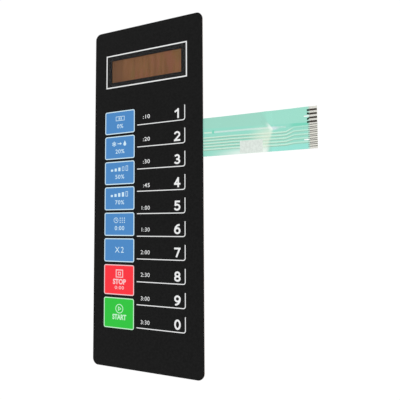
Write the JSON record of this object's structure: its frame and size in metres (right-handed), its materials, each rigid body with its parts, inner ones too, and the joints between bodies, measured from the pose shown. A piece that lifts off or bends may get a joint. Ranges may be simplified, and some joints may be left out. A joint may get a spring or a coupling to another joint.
{
  "type": "membrane keypad",
  "caption": "Thin laminated membrane keypad for an oven's control panel: a black face film with printed keys and a smoked display window, and a flat printed tail with edge contacts.",
  "frame": {"origin": "middle of the panel's rear face, on the release liner that covers the mounting adhesive; the tail is left out of this middle", "axes": "+X along the tail, from the panel's edge to the contacts; +Y up the panel, from the keys to the display window; +Z out of the printed face"},
  "size_m": [0.1717, 0.2608, 0.0012],
  "materials": {
    "black_film": "satin",
    "smoked_film": "satin",
    "white_ink": "satin",
    "blue_ink": "satin",
    "red_ink": "satin",
    "green_ink": "satin",
    "clear_film": "gloss",
    "dark_adhesive": "matte",
    "kraft_paper": "matte",
    "green_insulation": "satin",
    "carbon_ink": "matte",
    "silver_ink": "satin",
    "white_film": "satin",
    "label_paper": "matte"
  },
  "bodies": {
    "root": {"release_liner": "kraft_paper", "rear_adhesive": "dark_adhesive", "lower_circuit": "clear_film", "spacer": "clear_film", "upper_circuit": "clear_film", "overlay_adhesive": "dark_adhesive", "graphic_overlay": "black_film", "display_window": "smoked_film", "window_frame": "white_ink", "key_outline_1": "white_ink", "key_outline_2": "white_ink", "key_outline_3": "white_ink", "key_outline_4": "white_ink", "key_outline_5": "white_ink", "key_outline_6": "white_ink", "key_outline_7": "white_ink", "key_outline_8": "white_ink", "key_field_1": "blue_ink", "key_field_2": "blue_ink", "key_field_3": "blue_ink", "key_field_4": "blue_ink", "key_field_5": "blue_ink", "key_field_6": "blue_ink", "key_field_7": "red_ink", "key_field_8": "green_ink", "bracket_1": "white_ink", "bracket_2": "white_ink", "bracket_3": "white_ink", "bracket_4": "white_ink", "bracket_5": "white_ink", "bracket_6": "white_ink", "bracket_7": "white_ink", "bracket_8": "white_ink", "bracket_9": "white_ink", "bracket_0": "white_ink", "numeral_1": "white_ink", "numeral_2": "white_ink", "numeral_3": "white_ink", "numeral_4": "white_ink", "numeral_5": "white_ink", "numeral_6": "white_ink", "numeral_7": "white_ink", "numeral_8": "white_ink", "numeral_9": "white_ink", "numeral_0": "white_ink", "tail_insulation": "green_insulation", "tail_stiffener": "white_film", "tail_label": "label_paper", "carbon_contact_1": "carbon_ink", "carbon_contact_2": "carbon_ink", "carbon_contact_3": "carbon_ink", "carbon_contact_4": "carbon_ink", "silver_contact_5": "silver_ink", "silver_contact_6": "silver_ink", "silver_contact_7": "silver_ink", "silver_contact_8": "silver_ink", "silver_contact_9": "silver_ink", "silver_contact_10": "silver_ink"}
  },
  "joints": []
}
